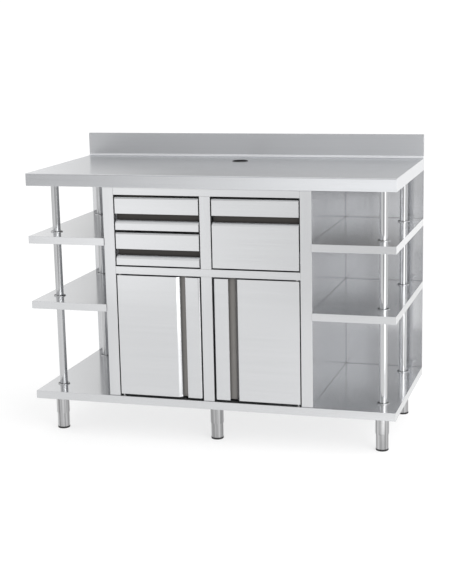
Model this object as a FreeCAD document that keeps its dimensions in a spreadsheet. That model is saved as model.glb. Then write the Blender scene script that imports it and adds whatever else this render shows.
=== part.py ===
import FreeCAD, Part
import os
import re
import Sketcher

# Waiter service station in folded stainless steel: a worktop with a rear upstand, a cabinet with
# three drawers and two doors in the middle, and open shelves on round posts at both ends.
# Millimetres. Origin on the floor under the centre of the plan, front towards -Y, up is +Z.

doc = FreeCAD.newDocument("ServiceStation")

# ---------------------------------------------------------------- driving sizes

SIZES = [
    # worktop
    ("worktop_length", 1500),
    ("worktop_depth", 700),
    ("worktop_height", 1090),
    ("worktop_gauge", 1.5),
    ("edge_height", 50),
    ("edge_radius", 4),
    ("edge_return", 20),
    ("upstand_height", 100),
    ("upstand_thickness", 15),
    ("upstand_radius", 2),
    ("cove_radius", 10),
    ("board_thickness", 16),
    ("board_clearance", 1),
    ("stiffener_width", 60),
    ("stiffener_gauge", 1.5),
    ("stiffener_end_gap", 15),
    # cable outlet in the worktop
    ("cable_bore", 54),
    ("grommet_wall", 3),
    ("grommet_flange_width", 3),
    ("grommet_flange_height", 2.5),
    ("grommet_length", 20),
    ("grommet_clearance", 0.3),
    ("cable_from_back", 180),
    # shelves and back
    ("panel_gauge", 1.2),
    ("bottom_shelf_height", 185),
    ("bottom_shelf_edge", 32),
    ("upper_shelf_height", 835),
    ("lower_shelf_height", 565),
    ("side_shelf_edge", 30),
    # cabinet face frame and body
    ("cabinet_width", 848),
    ("frame_setback", 5),
    ("frame_depth", 30),
    ("frame_gauge", 1.2),
    ("stile_width", 45),
    ("mullion_width", 44),
    ("top_rail_height", 30),
    ("mid_rail_height", 30),
    ("mid_rail_top", 722),
    ("side_inset", 8),
    ("side_flange", 20),
    ("drawer_floor_edge", 15),
    # drawer and door fronts
    ("front_thickness", 27),
    ("front_gauge", 1.2),
    ("front_side_gap", 5),
    ("front_edge_radius", 8),
    ("drawer_foot_gap", 6),
    ("drawer_gap", 9),
    ("drawer_top_gap", 8),
    ("drawer_ledge_height", 27.5),
    ("door_mullion_gap", 6),
    ("door_top_gap", 6),
    ("door_foot_gap", 9),
    ("door_lip_part", 60),
    ("grip_opening", 38),
    ("grip_depth", 24),
    ("grip_bevel", 12),
    ("grip_lip", 5),
    ("grip_undercut", 12),
    # drawer boxes and their telescopic runners
    ("box_gauge", 1),
    ("box_depth", 436),
    ("box_lift", 14),
    ("box_headroom", 26.5),
    ("runner_thickness", 12.7),
    ("runner_height", 45),
    ("runner_gauge", 1.5),
    ("runner_clearance", 0.4),
    ("runner_length", 440),
    ("runner_setback", 2),
    ("runner_lift", 45),
    # door pivots and catches
    ("pivot_from_edge", 10),
    ("pivot_from_front", 8),
    ("pivot_diameter", 8),
    ("pivot_running_clearance", 0.05),
    ("pivot_flange_diameter", 14),
    ("pivot_flange_height", 2),
    ("pivot_engagement", 11),
    ("bushing_diameter", 13),
    ("bushing_length", 12),
    ("catch_width", 40),
    ("catch_depth", 20),
    ("catch_height", 15),
    ("catch_clearance", 0.5),
    ("catch_from_mullion", 10),
    # posts of the open shelves
    ("post_diameter", 32),
    ("post_gauge", 1.5),
    ("post_from_end", 70),
    ("post_from_front", 125),
    ("post_from_back", 90),
    ("post_hole_clearance", 0.5),
    ("collar_diameter", 50),
    ("collar_height", 3),
    ("collar_chamfer", 1.5),
    # legs
    ("leg_from_end", 70),
    ("leg_from_front", 105),
    ("leg_from_back", 90),
    ("leg_plate_width", 90),
    ("leg_plate_thickness", 3),
    ("leg_bearer_width", 80),
    ("sleeve_diameter", 54),
    ("sleeve_gauge", 1.5),
    ("sleeve_end_height", 66),
    ("sleeve_taper_height", 5),
    ("sleeve_taper", 1),
    ("leg_tube_diameter", 50),
    ("leg_tube_gauge", 1.5),
    ("leg_tube_top_gap", 10),
    ("foot_diameter", 51),
    ("foot_height", 8),
    ("foot_chamfer", 1.5),
    ("foot_plug_height", 12),
]

sheet = doc.addObject("Spreadsheet::Sheet", "Sizes")
for row, (alias, value) in enumerate(SIZES, start=1):
    sheet.set(f"A{row}", alias.replace("_", " "))
    sheet.set(f"B{row}", str(value))
    sheet.setAlias(f"B{row}", alias)
doc.recompute()

ALIASES = {alias for alias, _ in SIZES}

# Places that several pieces share, each a formula of the driving sizes.
FRONT = "(0 - worktop_depth / 2)"
BACK = "(worktop_depth / 2)"
END = "(worktop_length / 2)"
UNDERSIDE = "(worktop_height - edge_height)"
PANEL_FACE = f"({BACK} - panel_gauge)"
SHELF_UNDERSIDE = "(bottom_shelf_height - bottom_shelf_edge)"
FRAME_FACE = f"({FRONT} + frame_setback)"
FRAME_REAR = f"({FRAME_FACE} + frame_depth)"
CABINET_END = "(cabinet_width / 2)"
STILE_EDGE = f"({CABINET_END} - stile_width)"
MULLION_EDGE = "(mullion_width / 2)"
SIDE_FACE = f"({CABINET_END} - side_inset)"
TOP_RAIL_FOOT = f"({UNDERSIDE} - top_rail_height)"
MID_RAIL_FOOT = "(mid_rail_top - mid_rail_height)"
DRAWER_FLOOR_TOP = f"({MID_RAIL_FOOT} + drawer_floor_edge)"
RUNNER_REAR = f"({FRAME_REAR} + runner_length)"
CABLE_Y = f"({BACK} - cable_from_back)"
POST_X = f"({END} - post_from_end)"
POST_FRONT_Y = f"({FRONT} + post_from_front)"
POST_REAR_Y = f"({BACK} - post_from_back)"
LEG_X = f"({END} - leg_from_end)"
LEG_FRONT_Y = f"({FRONT} + leg_from_front)"
LEG_REAR_Y = f"({BACK} - leg_from_back)"


def formula(text):
    """Turn a formula of size names into one of the spreadsheet's cells."""
    return re.sub(r"[a-z_]+", lambda word: f"Sizes.{word[0]}" if word[0] in ALIASES else word[0], text)


def bind(item, path, text):
    item.setExpression(path, formula(text))


# ---------------------------------------------------------------- blocks, tubes and turned pieces

def block(name, low, high):
    """Rectangular block between two corners, each three formulas."""
    box = doc.addObject("Part::Box", name)
    for side, axis, start, stop in zip(("Length", "Width", "Height"), "xyz", low, high):
        bind(box, side, f"({stop}) - ({start})")
        bind(box, f"Placement.Base.{axis}", start)
    return box


def cylinder(name, centre, foot, top, diameter):
    """Upright cylinder round a centre, between two heights."""
    rod = doc.addObject("Part::Cylinder", name)
    bind(rod, "Radius", f"({diameter}) / 2")
    bind(rod, "Height", f"({top}) - ({foot})")
    for axis, place in zip("xyz", (centre[0], centre[1], foot)):
        bind(rod, f"Placement.Base.{axis}", place)
    return rod


def fuse(name, pieces):
    whole = doc.addObject("Part::MultiFuse", name)
    whole.Shapes = pieces
    whole.Refine = True
    return whole


def cut(name, base, tools):
    rest = doc.addObject("Part::Cut", name)
    rest.Base = base
    rest.Tool = tools[0] if len(tools) == 1 else fuse(f"{name}_tools", tools)
    return rest


def group(name, pieces):
    """One sub-part of several like solids."""
    bundle = doc.addObject("Part::Compound", name)
    bundle.Links = pieces
    return bundle


def box_tube(name, low, high, along, gauge):
    """Hollow rectangular section, open at both ends of one axis ("x", "y" or "z")."""
    inner_low = [place if axis == along else f"({place}) + {gauge}" for axis, place in zip("xyz", low)]
    inner_high = [place if axis == along else f"({place}) - {gauge}" for axis, place in zip("xyz", high)]
    outer = block(f"{name}_outer", low, high)
    inner = block(f"{name}_inner", inner_low, inner_high)
    return cut(name, outer, [inner])


def round_tube(name, centre, foot, top, diameter, gauge):
    outer = cylinder(f"{name}_outer", centre, foot, top, diameter)
    inner = cylinder(f"{name}_inner", centre, foot, top, f"{diameter} - 2 * {gauge}")
    return cut(name, outer, [inner])


def new_sketch(body, role, name, lift="0"):
    """Sketch on one of the body's own origin planes, lifted along the plane's normal."""
    sketch = body.newObject("Sketcher::SketchObject", name)
    plane = next(item for item in body.Origin.OriginFeatures if item.Role == role)
    sketch.AttachmentSupport = [(plane, "")]
    sketch.MapMode = "FlatFace"
    bind(sketch, "AttachmentOffset.Base.z", lift)
    return sketch


def hold_point(sketch, geometry, position, corner, name):
    """Tie a point of a sketch to its two formulas, measured from the sketch's origin."""
    for kind, text in zip(("DistanceX", "DistanceY"), corner):
        index = sketch.addConstraint(Sketcher.Constraint(kind, -1, 1, geometry, position, 1.0))
        sketch.renameConstraint(index, f"{name}_{kind}")
        bind(sketch, f"Constraints.{name}_{kind}", text)


def polygon(sketch, corners):
    """Closed outline through corners, each a pair of formulas."""
    count = len(corners)
    for index in range(count):
        here = FreeCAD.Vector(index, index * index, 0)
        after = FreeCAD.Vector(index + 1, (index + 1) ** 2, 0)
        sketch.addGeometry(Part.LineSegment(here, after), False)
    for index in range(count):
        sketch.addConstraint(Sketcher.Constraint("Coincident", index, 2, (index + 1) % count, 1))
        hold_point(sketch, index, 1, corners[index], f"corner{index}")


def circle(sketch, centre, diameter):
    sketch.addGeometry(Part.Circle(FreeCAD.Vector(1, 1, 0), FreeCAD.Vector(0, 0, 1), 1), False)
    hold_point(sketch, 0, 3, centre, "centre")
    index = sketch.addConstraint(Sketcher.Constraint("Diameter", 0, 2.0))
    sketch.renameConstraint(index, "width")
    bind(sketch, "Constraints.width", diameter)


def new_body(name, place):
    body = doc.addObject("PartDesign::Body", name)
    for axis, text in zip("xyz", place):
        bind(body, f"Placement.Base.{axis}", text)
    return body


def pad(body, sketch, length):
    feature = body.newObject("PartDesign::Pad", f"{sketch.Name}_pad")
    feature.Profile = sketch
    bind(feature, "Length", length)
    sketch.Visibility = False
    doc.recompute()
    return feature


def pocket(body, sketch, length):
    """Cut along the sketch's own normal, and make sure that metal was taken away."""
    before = body.Shape.Volume
    feature = body.newObject("PartDesign::Pocket", f"{sketch.Name}_pocket")
    feature.Profile = sketch
    feature.Reversed = True
    bind(feature, "Length", length)
    doc.recompute()
    if body.Shape.Volume >= before:
        raise RuntimeError(f"{feature.Name} cuts nothing")
    return feature


def round_edge(body, feature, radius, lies_there):
    """Fillet the straight edges of a feature whose two ends both pass a test."""
    names = []
    for index, edge in enumerate(feature.Shape.Edges, start=1):
        if len(edge.Vertexes) == 2 and all(lies_there(vertex.Point) for vertex in edge.Vertexes):
            names.append(f"Edge{index}")
    fillet = body.newObject("PartDesign::Fillet", f"{feature.Name}_round")
    fillet.Base = (feature, names)
    bind(fillet, "Radius", radius)
    doc.recompute()
    return fillet


def turned(name, place, corners):
    """Body of revolution round the upright line through its place: corners are radius and height."""
    body = new_body(name, place)
    sketch = new_sketch(body, "XZ_Plane", f"{name}_section")
    polygon(sketch, corners)
    feature = body.newObject("PartDesign::Revolution", f"{name}_turn")
    feature.Profile = sketch
    feature.ReferenceAxis = (sketch, ["V_Axis"])
    feature.Angle = 360
    return body


def near(value, target):
    return abs(value - target) < 0.001


# ---------------------------------------------------------------- worktop

def worktop_sheet():
    """One folded sheet: front and end edges turned down, the back turned up into the upstand."""
    body = new_body("worktop_sheet", (f"0 - {END}", "0", UNDERSIDE))
    upstand_face = f"{BACK} - upstand_thickness"
    upstand_top = "edge_height + upstand_height"
    section = new_sketch(body, "YZ_Plane", "worktop_section")
    polygon(section, [(FRONT, "0"), (BACK, "0"), (BACK, upstand_top), (upstand_face, upstand_top),
                      (upstand_face, "edge_height"), (FRONT, "edge_height")])
    solid = pad(body, section, "worktop_length")
    front = -sheet.worktop_depth / 2
    inner = sheet.worktop_depth / 2 - sheet.upstand_thickness
    rounded = round_edge(body, solid, "edge_radius",
                         lambda p: near(p.y, front) and near(p.z, sheet.edge_height))
    coved = round_edge(body, rounded, "cove_radius",
                       lambda p: near(p.y, inner) and near(p.z, sheet.edge_height))
    round_edge(body, coved, "upstand_radius",
               lambda p: near(p.y, inner) and near(p.z, sheet.edge_height + sheet.upstand_height))
    hollow = new_sketch(body, "YZ_Plane", "worktop_hollow", "worktop_gauge")
    roof = "edge_height - worktop_gauge"
    skin = f"{FRONT} + worktop_gauge"
    rear_skin = f"{BACK} - worktop_gauge"
    slot_face = f"{upstand_face} + worktop_gauge"
    slot_top = f"{upstand_top} - worktop_gauge"
    polygon(hollow, [(f"{FRONT} + edge_return", "0"), (f"{FRONT} + edge_return", "worktop_gauge"),
                     (skin, "worktop_gauge"), (skin, "edge_height - edge_radius"),
                     (f"{FRONT} + edge_radius", roof),
                     (slot_face, roof), (slot_face, f"{slot_top} - upstand_radius"),
                     (f"{slot_face} + upstand_radius", slot_top), (rear_skin, slot_top),
                     (rear_skin, "worktop_gauge"), (f"{BACK} - edge_return", "worktop_gauge"),
                     (f"{BACK} - edge_return", "0")])
    pocket(body, hollow, "worktop_length - 2 * worktop_gauge")
    opening = new_sketch(body, "XY_Plane", "cable_opening")
    circle(opening, (END, CABLE_Y), "cable_bore + 2 * grommet_wall + 2 * grommet_clearance")
    pocket(body, opening, "edge_height + upstand_height")
    return body


def worktop_board():
    """Moisture-proof board bonded under the sheet to deaden it."""
    skin = "worktop_gauge + board_clearance"
    roof = "worktop_height - worktop_gauge"
    low = (f"{skin} - {END}", f"{FRONT} + {skin} + edge_radius", f"{roof} - board_thickness")
    high = (f"{END} - ({skin})", f"{BACK} - ({skin})", roof)
    board = block("worktop_board_blank", low, high)
    hole = cylinder("worktop_board_hole", ("0", CABLE_Y), f"{roof} - board_thickness", roof,
                    "cable_bore + 2 * grommet_wall + 2 * grommet_clearance")
    return cut("worktop_board", board, [hole])


def worktop_stiffeners():
    """Two hollow bars under the board, over the front and the rear posts."""
    reach = f"{END} - stiffener_end_gap"
    top = "worktop_height - worktop_gauge - board_thickness"
    bars = []
    for name, middle in (("front", POST_FRONT_Y), ("rear", POST_REAR_Y)):
        low = (f"0 - ({reach})", f"{middle} - stiffener_width / 2", UNDERSIDE)
        high = (reach, f"{middle} + stiffener_width / 2", top)
        bars.append(box_tube(f"stiffener_{name}", low, high, "x", "stiffener_gauge"))
    return group("worktop_stiffeners", bars)


def cable_grommet():
    """Black plastic ring that lines the round cable outlet."""
    bore = "cable_bore / 2"
    barrel = f"{bore} + grommet_wall"
    flange = f"{barrel} + grommet_flange_width"
    soft = "grommet_flange_height / 2"
    return turned("cable_grommet", ("0", CABLE_Y, "worktop_height"),
                  [(bore, "0 - grommet_length"), (barrel, "0 - grommet_length"), (barrel, "0"), (flange, "0"),
                   (flange, soft), (f"{flange} - {soft}", "grommet_flange_height"),
                   (bore, "grommet_flange_height")])


# ---------------------------------------------------------------- back and shelves

def back_panel():
    """Flat sheet across the whole back, from the bottom shelf's edge to the worktop."""
    return block("back_panel", (f"0 - {END}", PANEL_FACE, SHELF_UNDERSIDE), (END, BACK, UNDERSIDE))


def bottom_shelf():
    """Full-length shelf with turned-down edges and two hollow bearers over the legs."""
    low = [f"0 - {END}", FRONT, SHELF_UNDERSIDE]
    high = [END, PANEL_FACE, "bottom_shelf_height"]
    blank = block("bottom_shelf_blank", low, high)
    roof = "bottom_shelf_height - panel_gauge"
    hollow = block("bottom_shelf_hollow", (f"panel_gauge - {END}", f"{FRONT} + panel_gauge", SHELF_UNDERSIDE),
                   (f"{END} - panel_gauge", f"{PANEL_FACE} - panel_gauge", roof))
    pieces = [cut("bottom_shelf_tray", blank, [hollow])]
    for name, middle in (("front", LEG_FRONT_Y), ("rear", LEG_REAR_Y)):
        start = (f"panel_gauge - {END}", f"{middle} - leg_bearer_width / 2", SHELF_UNDERSIDE)
        stop = (f"{END} - panel_gauge", f"{middle} + leg_bearer_width / 2", roof)
        pieces.append(box_tube(f"leg_bearer_{name}", start, stop, "x", "panel_gauge"))
    return fuse("bottom_shelf", pieces)


def side_shelf(name, side, height):
    """Shelf of one open bay, notched round the cabinet's stile, with two holes for the posts."""
    foot = f"{height} - side_shelf_edge"
    roof = f"{height} - panel_gauge"
    frame_end = f"{CABINET_END} + panel_gauge"

    def span(title, inner, outer, start, stop, bottom, top):
        """Block from the cabinet outwards, on either side of the station."""
        left, right = (inner, outer) if side > 0 else (f"0 - ({outer})", f"0 - ({inner})")
        return block(f"{name}_{title}", (left, start, bottom), (right, stop, top))

    blank = span("blank", SIDE_FACE, END, FRONT, PANEL_FACE, foot, height)
    notch = span("notch", SIDE_FACE, CABINET_END, FRONT, FRAME_REAR, foot, height)
    rear_wall = f"{PANEL_FACE} - panel_gauge"
    hollow = span("hollow", frame_end, f"{END} - panel_gauge", f"{FRONT} + panel_gauge", rear_wall,
                  foot, roof)
    pit = span("pit", f"{SIDE_FACE} + panel_gauge", frame_end, f"{FRAME_REAR} + panel_gauge", rear_wall,
               foot, roof)
    tools = [notch, hollow, pit]
    for title, middle in (("front_hole", POST_FRONT_Y), ("rear_hole", POST_REAR_Y)):
        tools.append(cylinder(f"{name}_{title}", (f"{side} * {POST_X}", middle), foot, height,
                              "post_diameter + 2 * post_hole_clearance"))
    return cut(name, blank, tools)


# ---------------------------------------------------------------- cabinet body and face frame

def cabinet_side(name, side):
    """Side sheet with a flange turned inwards behind the stile and at the back."""
    inner = f"{SIDE_FACE} - side_flange"
    skin = f"{SIDE_FACE} - panel_gauge"

    def across(title, near_end, far_end, start, stop):
        left, right = (near_end, far_end) if side > 0 else (f"0 - ({far_end})", f"0 - ({near_end})")
        return block(f"{name}_{title}", (left, start, "bottom_shelf_height"), (right, stop, UNDERSIDE))

    blank = across("blank", inner, SIDE_FACE, FRAME_REAR, PANEL_FACE)
    hollow = across("hollow", inner, skin, f"{FRAME_REAR} + panel_gauge", f"{PANEL_FACE} - panel_gauge")
    return cut(name, blank, [hollow])


def frame_bar(name, left, right, foot, top, along):
    """Box-section bar of the face frame."""
    return box_tube(name, (left, FRAME_FACE, foot), (right, FRAME_REAR, top), along, "frame_gauge")


def drawer_partition():
    """Hollow wall behind the upper mullion, which carries the inner runners."""
    low = (f"0 - {MULLION_EDGE}", FRAME_REAR, DRAWER_FLOOR_TOP)
    high = (MULLION_EDGE, RUNNER_REAR, UNDERSIDE)
    return box_tube("drawer_partition", low, high, "z", "panel_gauge")


def drawer_floor():
    """Tray between the drawers and the cupboard."""
    skin = f"{SIDE_FACE} - panel_gauge"
    wall = f"{skin} - panel_gauge"
    start = f"{FRAME_REAR} + panel_gauge"
    stop = f"{PANEL_FACE} - panel_gauge"
    blank = block("drawer_floor_blank", (f"0 - ({skin})", start, MID_RAIL_FOOT),
                  (skin, stop, DRAWER_FLOOR_TOP))
    hollow = block("drawer_floor_hollow", (f"0 - ({wall})", f"{start} + panel_gauge", MID_RAIL_FOOT),
                   (wall, f"{stop} - panel_gauge", f"{DRAWER_FLOOR_TOP} - panel_gauge"))
    return cut("drawer_floor", blank, [hollow])


# ---------------------------------------------------------------- fronts with a folded grip channel

def grip_outline(total, lip_part):
    """Outline of a front across its grip channel, as distances along the front and depths.

    The broad panel starts at zero and ends in the bevelled wall of the channel. The channel reaches
    behind the lip on its other side, so that fingers hook behind it.
    """
    lip = f"({total} - {lip_part})"
    ledge = f"({lip} - grip_opening)"
    far = f"({lip} + grip_undercut)"
    wall = f"{ledge} + grip_bevel"
    outer = [("0", "0"), (ledge, "0"), (wall, "grip_bevel"), (wall, "grip_depth"), (far, "grip_depth"),
             (far, "grip_lip"), (lip, "grip_lip"), (lip, "0"), (total, "0"), (total, "front_thickness"),
             ("0", "front_thickness")]
    skin = "front_gauge"
    floor = f"grip_depth + {skin}"
    hollow = [(skin, skin), (f"{ledge} - {skin}", skin), (f"{wall} - {skin}", f"grip_bevel + {skin}"),
              (f"{wall} - {skin}", floor), (f"{far} + {skin}", floor),
              (f"{far} + {skin}", f"grip_lip - {skin}"), (f"{lip} + {skin}", f"grip_lip - {skin}"),
              (f"{lip} + {skin}", skin), (f"{total} - front_edge_radius", skin),
              (f"{total} - {skin}", "front_edge_radius"), (f"{total} - {skin}", "front_thickness"),
              (skin, "front_thickness")]
    return outer, hollow


def drawer_front(name, left, width, foot, height, lip_part):
    """Hollow drawer front, open at its back, with the grip channel running from end to end."""
    body = new_body(f"{name}_front", (left, FRAME_FACE, foot))
    outer, hollow = grip_outline(height, lip_part)
    section = new_sketch(body, "YZ_Plane", f"{name}_section")
    polygon(section, [(depth, along) for along, depth in outer])
    solid = pad(body, section, width)
    top = solid.Shape.BoundBox.ZMax
    round_edge(body, solid, "front_edge_radius", lambda p: near(p.y, 0) and near(p.z, top))
    inside = new_sketch(body, "YZ_Plane", f"{name}_inside", "front_gauge")
    polygon(inside, [(depth, along) for along, depth in hollow])
    pocket(body, inside, f"{width} - 2 * front_gauge")
    return body


def drawer_box(name, left, width, foot, height):
    """Open tray hung between the runners, with a tall front plate that closes the front's back."""
    front_rear = f"({FRAME_FACE} + front_thickness)"
    side_room = "(runner_thickness - front_side_gap)"
    start = f"{left} + {side_room}"
    stop = f"{left} + {width} - {side_room}"
    bottom = f"{foot} + box_lift"
    top = f"{foot} + {height} - box_headroom"
    rear = f"{front_rear} + box_depth"
    blank = block(f"{name}_box_blank", (start, front_rear, bottom), (stop, rear, top))
    hollow = block(f"{name}_box_hollow",
                   (f"{start} + box_gauge", f"{front_rear} + box_gauge", f"{bottom} + box_gauge"),
                   (f"{stop} - box_gauge", f"{rear} - box_gauge", top))
    plate = block(f"{name}_box_plate",
                  (f"{left} + front_gauge", f"{front_rear} - box_gauge", f"{foot} + front_gauge"),
                  (f"{left} + {width} - front_gauge", front_rear, f"{foot} + {height} - front_gauge"))
    return fuse(f"{name}_box", [cut(f"{name}_box_tray", blank, [hollow]), plate])


def door_skin(name, side, foot, width, height):
    """Hollow door, open at its back, with the grip channel along its whole free edge."""
    body = new_body(f"{name}_skin", (f"0 - {side} * ({STILE_EDGE} - front_side_gap)", FRAME_FACE, foot))
    outer, hollow = grip_outline(width, "door_lip_part")
    section = new_sketch(body, "XY_Plane", f"{name}_section")
    polygon(section, [(f"{side} * ({along})", depth) for along, depth in outer])
    solid = pad(body, section, height)
    reach = solid.Shape.BoundBox
    free_edge = reach.XMax if side > 0 else reach.XMin
    round_edge(body, solid, "front_edge_radius", lambda p: near(p.y, 0) and near(p.x, free_edge))
    inside = new_sketch(body, "XY_Plane", f"{name}_inside", "front_gauge")
    polygon(inside, [(f"{side} * ({along})", depth) for along, depth in hollow])
    pocket(body, inside, f"{height} - 2 * front_gauge")
    pivot = new_sketch(body, "XY_Plane", f"{name}_pivot")
    circle(pivot, (f"{side} * pivot_from_edge", "pivot_from_front"), "bushing_diameter")
    pocket(body, pivot, height)
    return body


def door_liner(name, side, foot, width, height):
    """Flat sheet that closes the door's back."""
    hinge_edge = f"({STILE_EDGE} - front_side_gap - front_gauge)"
    free_edge = f"({STILE_EDGE} - front_side_gap - {width} + front_gauge)"
    left, right = (f"0 - {hinge_edge}", f"0 - {free_edge}") if side > 0 else (free_edge, hinge_edge)
    rear = f"{FRAME_FACE} + front_thickness"
    return block(f"{name}_liner", (left, f"{rear} - front_gauge", f"{foot} + front_gauge"),
                 (right, rear, f"{foot} + {height} - front_gauge"))


# ---------------------------------------------------------------- telescopic runners

def from_wall(wall, side, near_end, far_end):
    """Low and high x of a span given by two distances from a wall, towards side."""
    if side > 0:
        return f"{wall} + {near_end}", f"{wall} + {far_end}"
    return f"{wall} - ({far_end})", f"{wall} - ({near_end})"


def rail(name, wall, side, near_end, far_end, web_at_far_end, rail_height, middle, start, stop):
    """C-section rail along Y, with its web by the cabinet wall or by the drawer."""
    left, right = from_wall(wall, side, near_end, far_end)
    if web_at_far_end:
        hollow_span = from_wall(wall, side, near_end, f"{far_end} - runner_gauge")
    else:
        hollow_span = from_wall(wall, side, f"{near_end} + runner_gauge", far_end)
    foot = f"{middle} - ({rail_height}) / 2"
    top = f"{middle} + ({rail_height}) / 2"
    blank = block(f"{name}_blank", (left, start, foot), (right, stop, top))
    hollow = block(f"{name}_hollow", (hollow_span[0], start, f"{foot} + runner_gauge"),
                   (hollow_span[1], stop, f"{top} - runner_gauge"))
    return cut(name, blank, [hollow])


def runner_set(name, foot, walls):
    """Fixed, middle and drawer members of a drawer's two runners, which nest in each other."""
    middle = f"({foot} + runner_lift)"
    step = "(runner_gauge + runner_clearance)"
    open_end = f"(runner_thickness - {step})"
    box_rear = f"({FRAME_FACE} + front_thickness + box_depth - runner_setback)"
    members = {"fixed": [], "middle": [], "drawer": []}
    for place, wall, side in walls:
        members["fixed"].append(
            rail(f"{name}_fixed_rail_{place}", wall, side, "0", open_end, False, "runner_height",
                 middle, f"{FRAME_REAR} + panel_gauge", RUNNER_REAR))
        members["middle"].append(
            rail(f"{name}_middle_rail_{place}", wall, side, step, open_end, False,
                 f"runner_height - 2 * {step}", middle, f"{FRAME_REAR} + runner_setback",
                 f"{RUNNER_REAR} - runner_setback"))
        members["drawer"].append(
            rail(f"{name}_drawer_rail_{place}", wall, side, f"2 * {step}", "runner_thickness", True,
                 f"runner_height - 4 * {step}", middle, f"{FRAME_REAR} + runner_setback", box_rear))
    return members


def runner_bearer(name, foot, wall_side):
    """Hollow bar between the cabinet side and the fixed member of an outer runner."""
    outer = f"({SIDE_FACE} - panel_gauge)"
    left, right = (STILE_EDGE, outer) if wall_side > 0 else (f"0 - {outer}", f"0 - {STILE_EDGE}")
    middle = f"({foot} + runner_lift)"
    return box_tube(name, (left, f"{FRAME_REAR} + panel_gauge", f"{middle} - runner_height / 2"),
                    (right, RUNNER_REAR, f"{middle} + runner_height / 2"), "y", "panel_gauge")


# ---------------------------------------------------------------- door pivots and catches

def pivot_place(side):
    return (f"0 - {side} * ({STILE_EDGE} - front_side_gap - pivot_from_edge)",
            f"{FRAME_FACE} + pivot_from_front")


def hinge_pins(foot, top):
    """Four flanged steel pins: one under and one over each door."""
    pins = []
    for label, side in (("left", 1), ("right", -1)):
        centre = pivot_place(side)
        low_end = "bottom_shelf_height + pivot_flange_height"
        high_end = f"{MID_RAIL_FOOT} - pivot_flange_height"
        lower = [cylinder(f"{label}_lower_flange", centre, "bottom_shelf_height", low_end,
                          "pivot_flange_diameter"),
                 cylinder(f"{label}_lower_pin", centre, low_end, f"{foot} + pivot_engagement",
                          "pivot_diameter")]
        upper = [cylinder(f"{label}_upper_flange", centre, high_end, MID_RAIL_FOOT,
                          "pivot_flange_diameter"),
                 cylinder(f"{label}_upper_pin", centre, f"{top} - pivot_engagement", high_end,
                          "pivot_diameter")]
        pins.append(fuse(f"{label}_lower_pivot", lower))
        pins.append(fuse(f"{label}_upper_pivot", upper))
    return group("hinge_pins", pins)


def door_bushings(name, side, foot, top):
    """Nylon bushings let into the bottom and the top of a door."""
    centre = pivot_place(side)
    bore = "pivot_diameter + 2 * pivot_running_clearance"
    ends = [("lower", foot, f"{foot} + bushing_length"), ("upper", f"{top} - bushing_length", top)]
    rings = []
    for place, start, stop in ends:
        ring = cylinder(f"{name}_{place}_ring", centre, start, stop, "bushing_diameter")
        hole = cylinder(f"{name}_{place}_bore", centre, start, stop, bore)
        rings.append(cut(f"{name}_{place}_bushing", ring, [hole]))
    return group(f"{name}_bushings", rings)


def door_catches():
    """Two magnetic catches under the drawer floor, one behind each door's free edge."""
    near_end = f"({MULLION_EDGE} + catch_from_mullion)"
    far_end = f"({near_end} + catch_width)"
    start = f"({FRAME_FACE} + front_thickness + catch_clearance)"
    catches = []
    for label, left, right in (("left", f"0 - {far_end}", f"0 - {near_end}"), ("right", near_end, far_end)):
        catches.append(block(f"{label}_catch", (left, start, f"{MID_RAIL_FOOT} - catch_height"),
                             (right, f"{start} + catch_depth", MID_RAIL_FOOT)))
    return group("door_catches", catches)


# ---------------------------------------------------------------- posts, collars and legs

def post_places():
    return [(f"{depth}_{end}", side, middle)
            for depth, middle in (("front", POST_FRONT_Y), ("rear", POST_REAR_Y))
            for end, side in (("left", -1), ("right", 1))]


def post_collars():
    """Polished rings round the posts on top of each shelf."""
    bore = "post_diameter / 2"
    rim = "collar_diameter / 2"
    section = [(bore, "0"), (rim, "0"), (rim, "collar_height - collar_chamfer"),
               (f"{rim} - collar_chamfer", "collar_height"), (bore, "collar_height")]
    rings = []
    for place, side, middle in post_places():
        for level in ("bottom_shelf_height", "lower_shelf_height", "upper_shelf_height"):
            rings.append(turned(f"collar_{place}_{level}", (f"{side} * {POST_X}", middle, level), section))
    return group("post_collars", rings)


def leg_places():
    return [(f"{depth}_{end}", side, middle)
            for depth, middle in (("front", LEG_FRONT_Y), ("rear", LEG_REAR_Y))
            for end, side in (("left", -1), ("middle", 0), ("right", 1))]


def leg_sleeve(place, side, middle):
    """Square plate under the bottom shelf with a sleeve welded to it, drawn in at its lower end."""
    outer = "sleeve_diameter / 2"
    bore = f"{outer} - sleeve_gauge"
    x = f"{side} * {LEG_X}"
    plate_foot = f"({SHELF_UNDERSIDE} - leg_plate_thickness)"
    drop = f"(sleeve_end_height - {plate_foot})"
    sleeve = turned(f"sleeve_{place}", (x, middle, plate_foot),
                    [(bore, drop), (f"{outer} - sleeve_taper", drop),
                     (outer, f"{drop} + sleeve_taper_height"), (outer, "0"), (bore, "0")])
    reach = "leg_plate_width / 2"
    plate = block(f"leg_plate_{place}", (f"{x} - {reach}", f"{middle} - {reach}", plate_foot),
                  (f"{x} + {reach}", f"{middle} + {reach}", SHELF_UNDERSIDE))
    return fuse(f"leg_holder_{place}", [sleeve, plate])


def leg_tube(place, side, middle):
    """Inner tube of a leg, which slides in its sleeve."""
    top = f"{SHELF_UNDERSIDE} - leg_plate_thickness - leg_tube_top_gap"
    return round_tube(f"leg_{place}", (f"{side} * {LEG_X}", middle), "foot_height", top, "leg_tube_diameter",
                      "leg_tube_gauge")


def leg_foot(place, side, middle):
    """Black plastic foot with a plug that fills the end of the inner tube."""
    rim = "foot_diameter / 2"
    plug = "leg_tube_diameter / 2 - leg_tube_gauge"
    return turned(f"foot_{place}", (f"{side} * {LEG_X}", middle, "0"),
                  [("0", "0"), (f"{rim} - foot_chamfer", "0"), (rim, "foot_chamfer"), (rim, "foot_height"),
                   (plug, "foot_height"), (plug, "foot_height + foot_plug_height"),
                   ("0", "foot_height + foot_plug_height")])


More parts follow.
